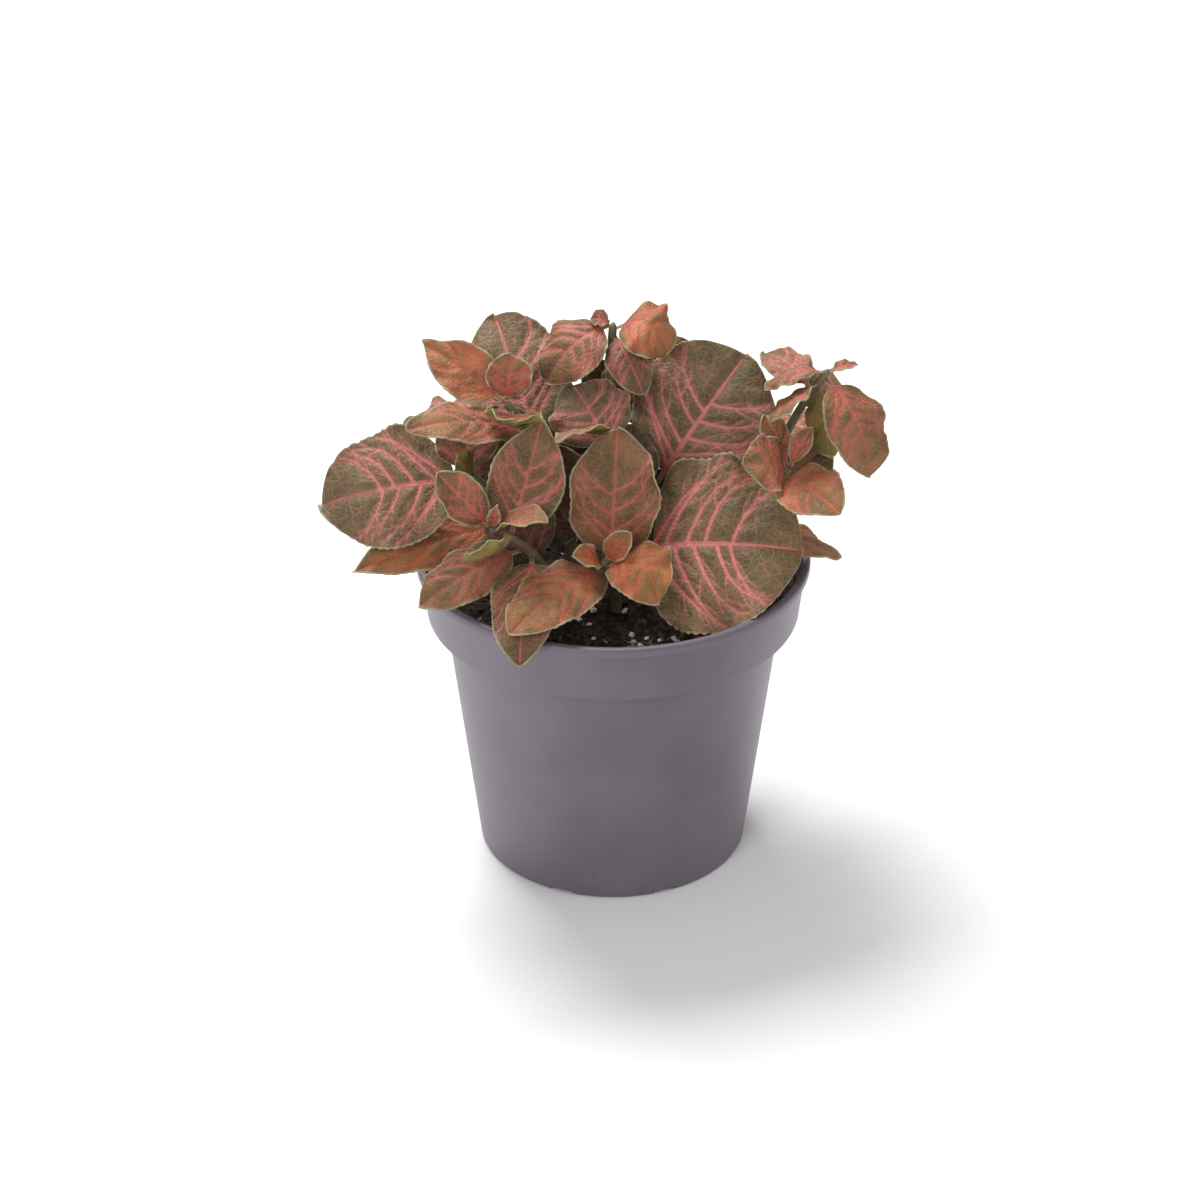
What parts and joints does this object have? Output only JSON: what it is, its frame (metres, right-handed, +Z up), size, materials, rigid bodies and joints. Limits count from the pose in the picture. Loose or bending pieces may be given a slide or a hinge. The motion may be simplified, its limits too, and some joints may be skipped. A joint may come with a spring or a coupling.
{
  "type": "potted nerve plant",
  "caption": "Bushy potted nerve plant with broad olive leaves, pink branching veins and peach young leaves, in a mauve-grey plastic nursery pot with a stepped collar",
  "frame": {"origin": "on the ground at the middle of the flat pad under the pot", "axes": "+Z up along the pot's axis, front towards -Y"},
  "size_m": [0.1693, 0.1367, 0.171],
  "materials": {
    "pot_plastic": "satin mauve-grey moulded plastic",
    "peat_soil": "loose dark peat",
    "stem_green": "dull green stem with fine hairs",
    "leaf_grown": "olive leaf with pink veins",
    "leaf_young": "peach young leaf with fine red veins",
    "leaf_shaded": "dark inner leaf with dull red veins"
  },
  "bodies": {
    "root": {"pot": "pot_plastic", "soil": "peat_soil", "stem_centre_front": "stem_green", "stem_left_front": "stem_green", "stem_left": "stem_green", "stem_upper_left": "stem_green", "stem_centre": "stem_green", "stem_top": "stem_green", "stem_right_low": "stem_green", "stem_right_middle": "stem_green", "stem_right": "stem_green", "stem_right_top": "stem_green", "stem_back": "stem_green", "stem_back_left": "stem_green", "stem_back_right": "stem_green", "leaf_front_right": "leaf_young", "leaf_front_bud_left": "leaf_young", "leaf_front_bud_right": "leaf_young", "leaf_front_upright": "leaf_grown", "leaf_front_low": "leaf_young", "leaf_left_pink": "leaf_young", "leaf_left_curl": "leaf_young", "leaf_left_under": "leaf_shaded", "leaf_left_upright": "leaf_grown", "leaf_left_low": "leaf_grown", "leaf_rim_droop": "leaf_grown", "leaf_left_orange": "leaf_young", "leaf_left_large": "leaf_grown", "leaf_left_dark": "leaf_shaded", "leaf_left_hood": "leaf_grown", "leaf_upper_orange": "leaf_young", "leaf_upper_pink": "leaf_young", "leaf_upper_round": "leaf_young", "leaf_upper_cup": "leaf_grown", "leaf_upper_back": "leaf_grown", "leaf_centre_grey": "leaf_grown", "leaf_centre_flap": "leaf_grown", "leaf_centre_inner": "leaf_shaded", "leaf_top_left": "leaf_grown", "leaf_top_gold": "leaf_young", "leaf_top_hang": "leaf_shaded", "leaf_top_dark": "leaf_shaded", "leaf_right_largest": "leaf_grown", "leaf_right_upper": "leaf_grown", "leaf_right_pink": "leaf_young", "leaf_right_front": "leaf_young", "leaf_right_small_left": "leaf_young", "leaf_right_small": "leaf_young", "leaf_right_thin": "leaf_grown", "leaf_corner_down": "leaf_grown", "leaf_corner_fold": "leaf_grown", "leaf_corner_edge": "leaf_grown", "leaf_corner_back": "leaf_grown", "leaf_corner_under": "leaf_shaded", "leaf_back_gold": "leaf_young", "leaf_back_middle": "leaf_grown", "leaf_behind_left": "leaf_grown", "leaf_behind_left_back": "leaf_grown", "leaf_behind_right": "leaf_grown", "leaf_behind_right_back": "leaf_grown"}
  },
  "joints": []
}
